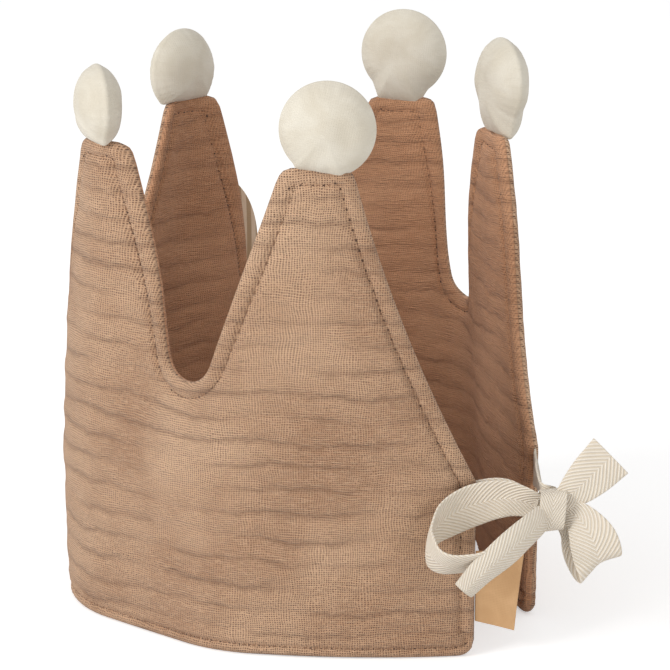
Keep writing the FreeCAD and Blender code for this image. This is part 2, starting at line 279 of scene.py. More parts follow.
def through(points: Array, count: int) -> Array:
    """Smooth run of evenly spaced rows through hand-set rows.

    Args:
        points: rows of a curve, whose first three columns are its place.
        count: how many rows to give.

    Returns:
        Rows on a Catmull-Rom curve, evenly spaced by length.
    """
    points = np.asarray(points, dtype=float)
    padded = np.vstack([2 * points[0] - points[1], points, 2 * points[-1] - points[-2]])
    fine = []
    for start in range(len(points) - 1):
        before, a, b, after = padded[start:start + 4]
        for t in np.linspace(0, 1, 24, endpoint=False):
            fine.append(
                a + (b - before) * t / 2
                + (before - 2.5 * a + 2 * b - after / 2) * t ** 2
                + (1.5 * (a - b) + (after - before) / 2) * t ** 3
            )
    fine = np.array([*fine, points[-1]])
    run = walked(fine[:, :3])
    return rows_at(fine, run, np.linspace(0, run[-1], count))


# Material helpers

def linear(hex_code: str) -> tuple[float, float, float, float]:
    """Linear colour with full alpha from an sRGB hex code.

    Args:
        hex_code: the colour as a hash sign and six digits.

    Returns:
        Red, green, blue and alpha.
    """
    channels = [int(hex_code[place:place + 2], 16) / 255 for place in (1, 3, 5)]
    turned = [c / 12.92 if c <= 0.04045 else ((c + 0.055) / 1.055) ** 2.4 for c in channels]
    return (*turned, 1.0)


def add_node(
    tree: bpy.types.NodeTree, kind: str, settings: dict[str, Any] | None = None,
    inputs: dict[Any, Any] | None = None,
) -> bpy.types.Node:
    """Adds one node with its settings, and sets or links its inputs.

    Args:
        tree: the node tree.
        kind: the node's type without its "ShaderNode" start.
        settings: values of the node's own properties.
        inputs: for each input's name or number a plain value, an output socket, or a node, whose
            first output is taken.

    Returns:
        The new node.
    """
    node = tree.nodes.new("ShaderNode" + kind)
    for key, value in (settings or {}).items():
        setattr(node, key, value)
    for key, value in (inputs or {}).items():
        if isinstance(value, bpy.types.Node):
            value = value.outputs[0]
        if isinstance(value, bpy.types.NodeSocket):
            tree.links.new(value, node.inputs[key])
        else:
            node.inputs[key].default_value = value
    return node


def blank_material(name: str) -> bpy.types.Material:
    """Material with an empty node tree.

    Args:
        name: its name.

    Returns:
        The material, without nodes.
    """
    material = bpy.data.materials.new(name)
    material.use_nodes = True
    material.node_tree.nodes.clear()
    return material


def wave_scale(pitch: float) -> float:
    """Scale at which a Wave texture repeats at a pitch in millimetres."""
    return math.pi / (10 * pitch * MM)


def cloth_vector(tree: bpy.types.NodeTree, stretch: Triple = (1, 1, 1)) -> bpy.types.Node:
    """Cloth map of a piece, stretched in its plane."""
    cloth = add_node(tree, "UVMap", {"uv_map": "cloth"})
    return add_node(tree, "Mapping", None, {"Vector": cloth, "Scale": stretch})


def lay_tones(tree: bpy.types.NodeTree, base: str, layers: Sequence[tuple[Any, str]]) -> Any:
    """Base colour with further colours laid over it.

    Args:
        tree: the node tree.
        base: hex code of the base colour.
        layers: how far each further colour covers what lies below it, and its hex code.

    Returns:
        The colour that shows.
    """
    tone = linear(base)
    for share, colour in layers:
        inputs = {0: share, 6: tone, 7: linear(colour)}
        tone = add_node(tree, "Mix", {"data_type": "RGBA"}, inputs).outputs[2]
    return tone


def sum_heights(tree: bpy.types.NodeTree, layers: Sequence[tuple[Any, float]]) -> Any:
    """Height of a relief as the sum of its layers.

    Args:
        tree: the node tree.
        layers: each layer's height and its weight.

    Returns:
        The summed height.
    """
    total = 0.0
    for height, weight in layers:
        inputs = {0: height, 1: weight, 2: total}
        total = add_node(tree, "Math", {"operation": "MULTIPLY_ADD"}, inputs)
    return total


def close_material(
    tree: bpy.types.NodeTree, colour: Any, height: Any, relief: float, strength: float,
    roughness: float, sheen: float,
) -> None:
    """Ends a cloth material: bump, shader and output.

    Args:
        tree: the node tree.
        colour: colour socket.
        height: height socket, from 0 to 1.
        relief: real height of the relief in millimetres.
        strength: strength of the bump.
        roughness: roughness of the shader.
        sheen: weight of the fuzz on the threads.
    """
    bump = add_node(tree, "Bump", None, {
        "Height": height, "Distance": relief * MM, "Strength": strength,
    })
    shader = add_node(tree, "BsdfPrincipled", None, {
        "Base Color": colour, "Normal": bump, "Roughness": roughness,
        "Sheen Weight": sheen, "Sheen Roughness": 0.6, "Specular IOR Level": 0.25,
    })
    add_node(tree, "OutputMaterial", None, {"Surface": shader})


def dress(piece: bpy.types.Object, material: bpy.types.Material) -> None:
    """Gives a piece one material all over."""
    piece.data.materials.clear()
    piece.data.materials.append(material)


def settle(
    piece: bpy.types.Object, material: bpy.types.Material, node: str | None = None,
) -> None:
    """Dresses a finished piece, fixes it to the body and hides the frame's node that it replaces.

    Args:
        piece: the finished piece.
        material: its material.
        node: the frame's node that it replaces, where it replaces one.
    """
    dress(piece, material)
    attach(piece, "root")
    if node:
        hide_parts(node)


# Finishes

@dataclass(frozen=True)
class DoubleGauze:
    """Cotton double gauze: two open layers caught together, so it dries crinkled and stays matt."""

    name: str = "cotton_double_gauze"
    light: str = "#d8b291"
    middle: str = "#b68d6d"
    # The dark tone fills the gaps between threads, and is also painted as shade along the foot of the
    # creases
    dark: str = "#684733"
    # Real threads lie about half a millimetre apart. These are drawn coarser, so that they show.
    thread_pitch: float = 0.74
    crease_pitch: float = 7.6
    pit_share: float = 0.95
    # Share of the dark tone painted as shade along the creases
    crease_shade_share: float = 0.17

    def swayed(self, tree: bpy.types.NodeTree, cloth: Any, scale: float, reach: float) -> Any:
        """Cloth map pushed about by noise, so that threads and creases wander.

        Args:
            tree: the node tree.
            cloth: the cloth map.
            scale: scale of the noise.
            reach: how far the noise pushes, in millimetres.

        Returns:
            The pushed cloth map.
        """
        noise = add_node(tree, "TexNoise", None, {"Vector": cloth, "Scale": scale, "Detail": 2.0})
        centred = add_node(tree, "VectorMath", {"operation": "SUBTRACT"}, {
            0: noise.outputs["Color"], 1: (0.5, 0.5, 0.5),
        })
        return add_node(tree, "VectorMath", {"operation": "MULTIPLY_ADD"}, {
            0: centred, 1: (reach * MM, reach * MM, 0), 2: cloth,
        })

    def weave(self, tree: bpy.types.NodeTree, cloth: Any) -> Any:
        """Open grid of threads: 1 on a thread, 0 in the gap between four of them.

        Args:
            tree: the node tree.
            cloth: the cloth map.

        Returns:
            Height of the threads.
        """
        moved = self.swayed(tree, cloth, 75.0, 3.2)
        threads = [
            add_node(tree, "TexWave", {"bands_direction": direction}, {
                "Vector": moved, "Scale": wave_scale(pitch), "Distortion": 0.7,
                "Detail": 1.0, "Detail Scale": 3.0,
            }).outputs["Fac"]
            for direction, pitch in (("X", self.thread_pitch), ("Y", self.thread_pitch * 0.9))
        ]
        return add_node(tree, "Math", {"operation": "MAXIMUM"}, {0: threads[0], 1: threads[1]})

    def creases(self, tree: bpy.types.NodeTree, cloth: Any) -> tuple[Any, Any]:
        """Crinkles across the band: soft waves, and the broken lines at their foot.

        Args:
            tree: the node tree.
            cloth: the cloth map.

        Returns:
            Height of the waves, and strength of the lines.
        """
        moved = self.swayed(tree, self.swayed(tree, cloth, 20.0, 8.0), 130.0, 4.2)
        waves = add_node(tree, "TexWave", {"bands_direction": "Y"}, {
            "Vector": moved, "Scale": wave_scale(self.crease_pitch), "Distortion": 1.4, "Detail": 2.0,
        }).outputs["Fac"]
        broken = add_node(tree, "TexNoise", None, {
            "Vector": cloth_vector(tree, (1, 2.5, 1)), "Scale": 26.0, "Detail": 2.0,
        })
        wide, narrow = (
            add_node(tree, "MapRange", SMOOTH, {"Value": waves, "From Min": level, "From Max": 0.0})
            for level in (0.4, 0.09)
        )
        foot = add_node(tree, "Math", {"operation": "ADD"}, {0: wide, 1: narrow})
        gaps = add_node(tree, "MapRange", SMOOTH, {"Value": broken, "From Min": 0.34, "From Max": 0.6})
        return waves, add_node(tree, "Math", MULTIPLY, {0: foot, 1: gaps})

    def build(self) -> bpy.types.Material:
        """Material with its weave, slubs and crinkles, with painted shade along the foot of the crinkles.

        Returns:
            The gauze.
        """
        material = blank_material(self.name)
        tree = material.node_tree
        cloth = cloth_vector(tree)
        weave = self.weave(tree, cloth)
        waves, lines = self.creases(tree, cloth)
        slub, grain, patch, crinkle = (
            add_node(tree, "TexNoise", None, {
                "Vector": vector, "Scale": scale, "Detail": detail, "Roughness": roughness,
            })
            for vector, scale, detail, roughness in (
                (cloth_vector(tree, (1, 6, 1)), 260.0, 3.0, 0.5),
                (cloth, 1300.0, 1.0, 0.5),
                (cloth, 24.0, 3.0, 0.5),
                (cloth_vector(tree, (1, 5, 1)), 34.0, 3.0, 0.55),
            )
        )
        faded, thick, gap, loose = (
            add_node(tree, "MapRange", SMOOTH, {
                "Value": value, "From Min": low, "From Max": high, "To Max": most,
            })
            for value, low, high, most in (
                (patch, 0.3, 0.7, 1.0), (slub, 0.4, 0.7, 0.6),
                (weave, 0.85, 0.25, self.pit_share), (grain, 0.2, 0.6, 1.0),
            )
        )
        pits = add_node(tree, "Math", MULTIPLY, {0: gap, 1: loose})
        # Painted shade: the dark tone is laid along the foot of each crease, where the relief is in shade
        folds = add_node(tree, "Math", MULTIPLY, {0: lines, 1: self.crease_shade_share})
        tone = lay_tones(tree, self.middle, (
            (faded, self.light), (thick, self.light), (pits, self.dark), (folds, self.dark),
        ))
        height = sum_heights(tree, (
            (waves, 0.4), (lines, -0.2), (crinkle, 1.1), (weave, 0.2), (slub, 0.7),
        ))
        close_material(tree, tone, height, relief=1.5, strength=0.9, roughness=0.92, sheen=0.12)
        return material


@dataclass(frozen=True)
class PlainCotton:
    """Plain-weave cotton with its small creases: matt, with a soft fuzz at grazing light, and painted shade
    in the low parts of the creases.
    """

    name: str
    base: str
    shade: str
    thread_pitch: float = 0.7
    stripe: str | None = None
    stripe_pitch: float = 5.0

    def build(self) -> bpy.types.Material:
        """Material with fine threads, creases and, where asked, woven stripes along the cloth.

        Returns:
            The cotton.
        """
        material = blank_material(self.name)
        tree = material.node_tree
        cloth = cloth_vector(tree)
        threads = [
            add_node(tree, "TexWave", {"bands_direction": direction}, {
                "Vector": cloth, "Scale": wave_scale(self.thread_pitch), "Distortion": 0.8,
            }).outputs["Fac"]
            for direction in ("X", "Y")
        ]
        weave = add_node(tree, "Math", MULTIPLY, {0: threads[0], 1: threads[1]})
        crease = add_node(tree, "TexNoise", None, {
            "Vector": cloth, "Scale": 90.0, "Detail": 4.0, "Distortion": 0.6,
        })
        # Painted shade: the cloth takes its shade colour in the low parts of the creases, which also make
        # its relief
        smooth = add_node(tree, "MapRange", SMOOTH, {"Value": crease, "From Min": 0.3, "From Max": 0.7})
        layers = [(smooth, self.base)]
        if self.stripe:
            bands = add_node(tree, "TexWave", {"bands_direction": "X"}, {
                "Vector": cloth, "Scale": wave_scale(self.stripe_pitch), "Distortion": 0.3,
            }).outputs["Fac"]
            edges = {"Value": bands, "From Min": 0.42, "From Max": 0.58}
            layers.append((add_node(tree, "MapRange", SMOOTH, edges), self.stripe))
        layers.append((add_node(tree, "Math", MULTIPLY, {0: weave, 1: 0.12}), self.shade))
        tone = lay_tones(tree, self.shade, layers)
        height = sum_heights(tree, ((weave, 0.25), (crease, 1.0)))
        close_material(tree, tone, height, relief=0.35, strength=0.6, roughness=0.85, sheen=0.2)
        return material


@dataclass(frozen=True)
class HerringboneTape:
    """Cotton twill tape: ribs that slant to a line down its middle, undyed."""

    name: str = "herringbone_twill_tape"
    light: str = "#efe5d6"
    shade: str = "#dccdb6"
    rib_pitch: float = 1.5
    rib_slant: float = 1.1

    def build(self) -> bpy.types.Material:
        """Material whose ribs follow the tape's length and mirror at its middle.

        Returns:
            The tape's material.
        """
        material = blank_material(self.name)
        tree = material.node_tree
        cloth = add_node(tree, "UVMap", {"uv_map": "cloth"})
        along, across, _ = add_node(tree, "SeparateXYZ", None, {0: cloth}).outputs
        away = add_node(tree, "Math", {"operation": "ABSOLUTE"}, {0: across})
        slant = {0: away, 1: self.rib_slant, 2: along}
        phase = add_node(tree, "Math", {"operation": "MULTIPLY_ADD"}, slant)
        slanted = add_node(tree, "CombineXYZ", None, {0: phase, 1: across})
        ribs = add_node(tree, "TexWave", {"bands_direction": "X"}, {
            "Vector": slanted, "Scale": wave_scale(self.rib_pitch), "Distortion": 0.5, "Detail": 1.0,
        }).outputs["Fac"]
        yarn = add_node(tree, "TexNoise", None, {"Vector": cloth, "Scale": 900.0, "Detail": 2.0})
        raised = add_node(tree, "MapRange", SMOOTH, {"Value": ribs, "From Min": 0.05, "From Max": 0.6})
        fuzz = add_node(tree, "Math", MULTIPLY, {0: yarn, 1: 0.18})
        tone = lay_tones(tree, self.shade, ((raised, self.light), (fuzz, self.shade)))
        height = sum_heights(tree, ((ribs, 1.0), (yarn, 0.35)))
        close_material(tree, tone, height, relief=0.35, strength=0.85, roughness=0.8, sheen=0.2)
        return material


@dataclass(frozen=True)
class FibreFinish:
    """Loose or twisted fibre, such as wadding or sewing thread: one tone with small uneven tufts."""

    name: str
    base: str
    shade: str
    tuft: float = 1.2

    def build(self) -> bpy.types.Material:
        """Material with tufts in object space, for pieces that have no cloth map.

        Returns:
            The fibre.
        """
        material = blank_material(self.name)
        tree = material.node_tree
        place = add_node(tree, "TexCoord").outputs["Object"]
        tufts = add_node(tree, "TexNoise", None, {
            "Vector": place, "Scale": 1 / (self.tuft * MM), "Detail": 3.0,
        })
        raised = add_node(tree, "MapRange", SMOOTH, {"Value": tufts, "From Min": 0.3, "From Max": 0.7})
        tone = lay_tones(tree, self.shade, ((raised, self.base),))
        close_material(tree, tone, tufts, relief=0.2, strength=0.7, roughness=0.9, sheen=0.15)
        return material


# The band's plan and flat pattern

@dataclass(frozen=True)
class BandPlan:
    """Line that the band's outer face follows from above, walked from the front end."""

    length: float = 440.0
    heading: float = 189.0
    wall: float = 4.6
    # Each stretch has its share of the length and how far it turns, in degrees
    stretches: tuple[tuple[float, float], ...] = (
        (70, 20), (24, 29), (32, 0), (66, 90), (64, 0), (22, 48), (54, 33), (40, 58), (68, -18),
    )
    lean_from: float = 45.0
    lean_to: float = 152.0
    lean_curve: float = 1.3
    # Each lean has its place along the band and the move there at the height of the tips' tops
    leans: tuple[tuple[float, Triple], ...] = (
        (0, (0, 0, 0)), (49, (1, 0, 0)), (78, (-4, 0, 0)), (94, (3, -1, 0)), (112, (12, 0, 1)),
        (134.5, (4.5, 0, 2)), (160, (5, 2, 1)), (192, (13, 3, 1)), (220, (7, 5, 3)), (246, (20, 4, 2)),
        (268, (12, 0, 0)), (305.5, (13, -3, -1)), (322, (17, -4, 0)),
        (342, (7, -3, 0)), (368, (-8, -3, -1)), (391, (-1, -3, -3)), (412, (3, -2, -2)), (440, (0, 0, 0)),
    )

    def walk(self, along: Array) -> tuple[Array, Array]:
        """Point and heading on the outer face, before the plan is set on the frame.

        Args:
            along: distances from the front end.

        Returns:
            Points in the plan, and headings in radians.
        """
        total = sum(share for share, _ in self.stretches)
        steps = np.linspace(0, self.length, 4401)
        turned = np.zeros_like(steps)
        start = 0.0
        for share, turn in self.stretches:
            end = start + share / total * self.length
            turned += np.clip((steps - start) / (end - start), 0, 1) * math.radians(turn)
            start = end
        headings = math.radians(self.heading) - turned
        middle = (headings[1:] + headings[:-1]) / 2
        step = steps[1] - steps[0]
        x = np.concatenate([[0], np.cumsum(np.cos(middle))]) * step
        y = np.concatenate([[0], np.cumsum(np.sin(middle))]) * step
        points = np.stack([np.interp(along, steps, x), np.interp(along, steps, y)], axis=1)
        return points, np.interp(along, steps, headings)

    def corner(self) -> Array:
        """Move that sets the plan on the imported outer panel.

        Returns:
            The move, along and across the plan.
        """
        low = np.array(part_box("outer_panel")[0])[:2] / MM
        points, _ = self.walk(np.linspace(0, self.length, 2000))
        return low - points.min(axis=0)

    def place(self, along: Array, inset: Array | float, height: Array | float) -> Array:
        """Points at distances along the band, insets from its outer face and heights.

        Args:
            along: distances along the band from the front end.
            inset: distances in from the outer face.
            height: heights on the cloth.

        Returns:
            One row of three values for each distance.
        """
        along = np.atleast_1d(np.asarray(along, dtype=float))
        points, headings = self.walk(along)
        inward = np.stack([np.sin(headings), -np.cos(headings)], axis=1)
        flat = points + self.corner() + inward * np.broadcast_to(inset, along.shape)[:, None]
        height = np.broadcast_to(height, along.shape)
        return np.column_stack([flat, height]) + self.lean(along, height)

    def lean(self, along: Array, height: Array) -> Array:
        """How far the soft cloth leans from its upright plan, more towards the tips' tops.

        Args:
            along: distances along the band from the front end.
            height: heights on the cloth.

        Returns:
            One move for each place.
        """
        stations = np.array([station for station, _ in self.leans])
        moves = np.array([move for _, move in self.leans], dtype=float)
        place = np.clip(np.searchsorted(stations, along, side="right") - 1, 0, len(stations) - 2)
        share = (along - stations[place]) / (stations[place + 1] - stations[place])
        share = (share * share * (3 - 2 * share))[:, None]
        risen = np.clip((height - self.lean_from) / (self.lean_to - self.lean_from), 0, None)
        amount = (risen ** self.lean_curve)[:, None]
        return (moves[place] * (1 - share) + moves[place + 1] * share) * amount

    def inward(self, along: float) -> Array:
        """Direction to the inside of the band at a distance along it."""
        heading = self.walk(np.array([along]))[1][0]
        return np.array([math.sin(heading), -math.cos(heading), 0.0])


@dataclass(frozen=True)
class BandPattern:
    """Flat outline of the band: five tips between round valleys, and two low ends."""

    plan: BandPlan
    tips: int = 5
    pitch: float = 85.5
    end_margin: float = 49.0
    tip_height: float = 152.0
    tip_half_top: float = 7.4
    shoulder_drop: float = 4.0
    edge_start: float = 10.0
    edge_slope: float = 0.28
    edge_hollow: float = 0.0013
    valley_height: float = 84.5
    corner_radius: float = 5.0

    def tip_middle(self, tip: int) -> float:
        """Distance along the band to the middle of a tip, counted from 0 at the front end."""
        return self.end_margin + tip * self.pitch

    def half_width(self, depth: Array | float) -> Any:
        """Half the width of a tip at a depth below its top."""
        return self.edge_start + self.edge_slope * depth + self.edge_hollow * depth ** 2

    def valley_start(self) -> tuple[float, float, float]:
        """Depth at which a side meets the valley's round, with the gap and slope there."""
        for depth in np.arange(self.shoulder_drop, self.tip_height, 0.01):
            gap = self.pitch / 2 - self.half_width(depth)
            slope = self.edge_slope + 2 * self.edge_hollow * depth
            if self.tip_height - depth + gap * (slope - math.hypot(1, slope)) <= self.valley_height:
                break
        return depth, gap, slope

    def top_line(self) -> Array:
        """Points of the upper edge from the front end to the rear end.

        Returns:
            Rows of distance along the band and height.
        """
        deep, gap, slope = self.valley_start()
        depths = np.linspace(self.shoulder_drop, deep, 26)
        shoulder = self.half_width(self.shoulder_drop) - self.tip_half_top
        side = [
            (self.tip_half_top, self.tip_height),
            (self.tip_half_top + 0.68 * shoulder, self.tip_height - 0.3 * self.shoulder_drop),
        ]
        side += [(self.half_width(depth), self.tip_height - depth) for depth in depths]
        radius = gap * math.hypot(1, slope)
        level = self.tip_height - deep + gap * slope
        reach = math.atan2(1, slope)
        turns = np.linspace(-reach, reach, 18)[1:-1]
        valley = [(self.pitch / 2 + radius * math.sin(t), level - radius * math.cos(t)) for t in turns]
        far = np.linspace(deep, self.tip_height, 60)
        ending = [(self.half_width(depth), self.tip_height - depth) for depth in far]
        ending = [point for point in ending if point[0] < self.end_margin + 4]
        points = []
        for tip in range(self.tips):
            middle = self.tip_middle(tip)
            left = side + (ending if tip == 0 else [])
            right = side + (ending if tip == self.tips - 1 else valley)
            points += [(middle - x, z) for x, z in reversed(left)]
            points += [(middle + x, z) for x, z in right]
        return np.array(points)

    def span(self, along: Array) -> tuple[Array, Array]:
        """Lower and upper height of the cloth at distances along the band.

        Args:
            along: distances along the band from the front end.

        Returns:
            Lower heights, and upper heights.
        """
        line = self.top_line()
        top = np.interp(along, line[:, 0], line[:, 1])
        from_end = np.minimum(along, self.plan.length - along)
        reach = np.clip(self.corner_radius - from_end, 0, self.corner_radius)
        bottom = self.corner_radius - np.sqrt(self.corner_radius ** 2 - reach ** 2)
        return bottom, top

    def outline(self) -> Array:
        """Closed outline of the cloth as points about 1.5 mm apart.

        Returns:
            Rows of distance along the band and height.
        """
        along = np.linspace(0, self.plan.length, 1200)
        bottom, top = self.span(along)
        corners = np.vstack([
            np.column_stack([along, top]),
            np.column_stack([along, bottom])[::-1],
            [[along[0], top[0]]],
        ])
        run = walked(corners)
        return rows_at(corners, run, np.arange(0, run[-1], 1.5))

    def edge_distance(self, along: Array, height: Array) -> tuple[Array, Array]:
        """Distance from the outline, and how far round the outline that is.

        Args:
            along: distances along the band.
            height: heights on the cloth.

        Returns:
            Distances into the cloth, and the place of the nearest edge along the outline.
        """
        points = self.outline()
        after = np.roll(points, -1, axis=0)
        best = np.full(len(along), 1e9)
        place = np.zeros(len(along))
        run = 0.0
        for start, end in zip(points, after):
            step = end - start
            length = math.hypot(*step)
            share = ((along - start[0]) * step[0] + (height - start[1]) * step[1]) / length ** 2
            share = np.clip(share, 0, 1)
            gap = np.hypot(along - start[0] - share * step[0], height - start[1] - share * step[1])
            nearer = gap < best
            best = np.where(nearer, gap, best)
            place = np.where(nearer, run + share * length, place)
            run += length
        return best, place


@dataclass(frozen=True)
class PaddedWall:
    """Surface of the quilted wall: rolled edge, sewn groove, and crinkled cloth between."""

    pattern: BandPattern
    roll: float = 2.4
    half_edge: float = 2.15
    least_half: float = 0.04
    groove: float = 1.0
    groove_width: float = 1.0
    puff: float = 0.7
    puff_reach: float = 5.0
    crinkle: float = 0.5
    pucker: float = 0.22
    pucker_reach: float = 2.2
    stitch_pitch: float = 3.2
    side_inset: float = 4.9
    bottom_inset: float = 3.2
    bottom_band: float = 8.0
    cloth_thickness: float = 0.9

    def inset(self, height: Array) -> Array:
        """Distance of the stitching from the edge at a height."""
        return np.where(height < self.bottom_band, self.bottom_inset, self.side_inset)

    def crinkles(self, along: Array, height: Array, side: Side) -> Array:
        """Waves of the dried cloth: ridges across the band, small creases and broad swells.

        Args:
            along: distances along the band from the front end.
            height: heights on the cloth.
            side: face of the wall.

        Returns:
            Height of the waves, before their scale.
        """
        seed = 11 if side is Side.OUTER else 29
        ridges = 1 - np.abs(smooth_noise(along / 26 + height / 60, height / 5.2, seed))
        small = smooth_noise(along / 9, height / 3.0, seed + 1)
        broad = smooth_noise(along / 34, height / 30, seed + 2)
        return (ridges ** 2 - 0.45) * 1.1 + small * 0.35 + broad * 0.9

    def half_thickness(self, along: Array, height: Array, side: Side) -> Array:
        """Half the wall's thickness at places on the flat cloth.

        Args:
            along: distances along the band from the front end.
            height: heights on the cloth.
            side: face of the wall.

        Returns:
            Half thicknesses.
        """
        gap, place = self.pattern.edge_distance(along, height)
        from_seam = gap - self.inset(height)
        edge = np.sqrt(np.clip(1 - (1 - np.clip(gap / self.roll, 0, 1)) ** 2, 0, 1))
        inner = 1 - np.exp(-np.clip(from_seam, 0, None) / self.puff_reach)
        groove = self.groove * np.exp(-(from_seam / self.groove_width) ** 2)
        beat = np.cos(2 * math.pi * place / self.stitch_pitch)
        near = np.exp(-(from_seam / self.pucker_reach) ** 2)
        waves = self.crinkles(along, height, side)
        return (
            self.half_edge * edge - groove * edge + self.puff * inner
            + self.pucker * beat * near * edge + self.crinkle * waves * (0.25 + 0.75 * inner) * edge
        )

    def surface(self, along: Array, height: Array, side: Side, lift: float = 0.0) -> Array:
        """Places on one face of the wall for places on the flat cloth.

        Args:
            along: distances along the band from the front end.
            height: heights on the cloth.
            side: face of the wall.
            lift: height above the cloth's face.

        Returns:
            One row of three values for each place.
        """
        half = np.clip(self.half_thickness(along, height, side), self.least_half, None) + lift
        middle = self.pattern.plan.wall / 2
        return self.pattern.plan.place(along, middle - side.value * half, height)


def clustered(shares: Array, strength: float) -> Array:
    """Shares drawn towards both ends, so that edges get more faces."""
    return shares - strength * np.sin(2 * math.pi * shares) / (2 * math.pi)


@dataclass
class CrownBand:
    """Two gauze panels sewn round their edge, with the wadding between them."""

    wall: PaddedWall
    finish: bpy.types.Material
    # Copy of the gauze whose colours hold painted shade and warm bounce light
    shaded_lining_finish: bpy.types.Material
    wadding_finish: bpy.types.Material
    seam_gap: float = 0.03
    end_cluster: float = 0.15
    edge_cluster: float = 0.62
    columns: int = 420
    rows: int = 104
    fleece_thickness: float = 1.8
    fleece_taper: float = 6.0
    fleece_columns: int = 360
    fleece_rows: int = 50

    def cloth_area(self) -> float:
        """Flat area of one panel in square metres.

        Returns:
            The area.
        """
        along = np.linspace(0, self.wall.pattern.plan.length, 2000)
        bottom, top = self.wall.pattern.span(along)
        return float(np.mean(top - bottom)) * self.wall.pattern.plan.length * MM * MM

    def edge_gap(self, piece: bpy.types.Object) -> Array:
        """Distance of each vertex of a sheet from the edge of the cloth."""
        return self.wall.pattern.edge_distance(*(read_cloth(piece.data) / MM).T)[0]

    def thicken(self, piece: bpy.types.Object, shares: Array, thickness: float, offset: int) -> None:
        """Gives a sheet its thickness, less towards its edge.

        Args:
            piece: the sheet.
            shares: share of the full thickness at each vertex.
            thickness: full thickness.
            offset: -1 for all of it behind the sheet, 0 for half on each side.
        """
        group = piece.vertex_groups.new(name="thickness")
        for share in np.unique(shares):
            group.add(np.nonzero(shares == share)[0].tolist(), float(share), "REPLACE")
        apply_modifier(
            piece, "SOLIDIFY", thickness=thickness * MM, offset=offset,
            vertex_group="thickness", thickness_vertex_group=0.0,
        )

    def declare(self, piece: bpy.types.Object) -> bpy.types.Object:
        """Works out the flat area of one panel, and gives the layer back as it is.

        Args:
            piece: the piece.

        Returns:
            The same piece.
        """
        self.cloth_area()
        return piece

    def panel(self, side: Side) -> bpy.types.Object:
        """One panel as a sheet that rolls over its edge to the seam.

        Args:
            side: face of the wall that it is.

        Returns:
            The panel with the thickness of its cloth.
        """
        pattern = self.wall.pattern

        def shape(across: Array, up: Array) -> tuple[Array, Array]:
            """Place and cloth map of the panel's points.

            Args:
                across: shares of the way along the cloth.
                up: shares of the way up the cloth.

            Returns:
                Places, and the cloth map.
            """
            along = clustered(across, self.end_cluster) * pattern.plan.length
            bottom, top = pattern.span(along)
            height = bottom + clustered(up, self.edge_cluster) * (top - bottom)
            places = self.wall.surface(along, height, side)
            rim = (np.abs(up - 0.5) > 0.4999) | (np.abs(across - 0.5) > 0.4999)
            seam = pattern.plan.wall / 2 - side.value * self.seam_gap
            places[rim] = pattern.plan.place(along[rim], seam, height[rim])
            return places, np.column_stack([along, height])

        flipped = side is Side.OUTER
        piece = grid_sheet(f"{side.word}_panel_cloth", self.columns, self.rows, shape, flipped)
        shares = np.clip(self.edge_gap(piece) / self.wall.roll, 0.05, 1).round(2)
        self.thicken(piece, shares, self.wall.cloth_thickness, -1)
        make_active(piece)
        bpy.ops.object.shade_smooth()
        return piece

    def wadding(self) -> bpy.types.Object:
        """Fleece between the panels, as far as the stitching.

        Returns:
            The fleece with its thickness.
        """
        wall, pattern = self.wall, self.wall.pattern

        def shape(across: Array, up: Array) -> tuple[Array, Array]:
            """Place and cloth map of the fleece's points.

            Args:
                across: shares of the way along the cloth.
                up: shares of the way up the cloth.

            Returns:
                Places, and the cloth map.
            """
            along = wall.side_inset + across * (pattern.plan.length - 2 * wall.side_inset)
            bottom, top = pattern.span(along)
            height = bottom + wall.bottom_inset + up * (top - bottom - wall.bottom_inset - wall.side_inset)
            places = pattern.plan.place(along, pattern.plan.wall / 2, height)
            return places, np.column_stack([along, height])

        piece = grid_sheet("wadding_fleece", self.fleece_columns, self.fleece_rows, shape)
        shares = np.clip((self.edge_gap(piece) - 2) / self.fleece_taper, 0.05, 1).round(1)
        self.thicken(piece, shares, self.fleece_thickness, 0)
        return piece

    def build(self) -> list[bpy.types.Object]:
        """Both panels and their wadding, dressed and fixed to the body.

        Returns:
            The outer panel, the lining panel and the fleece.
        """
        layers = []
        for side, finish in ((Side.OUTER, self.finish), (Side.LINING, self.shaded_lining_finish)):
            piece = self.panel(side)
            settle(piece, finish, f"{side.word}_panel")
            layers.append(self.declare(piece))
        fleece = self.wadding()
        settle(fleece, self.wadding_finish, "wadding")
        layers.append(self.declare(fleece))
        return layers


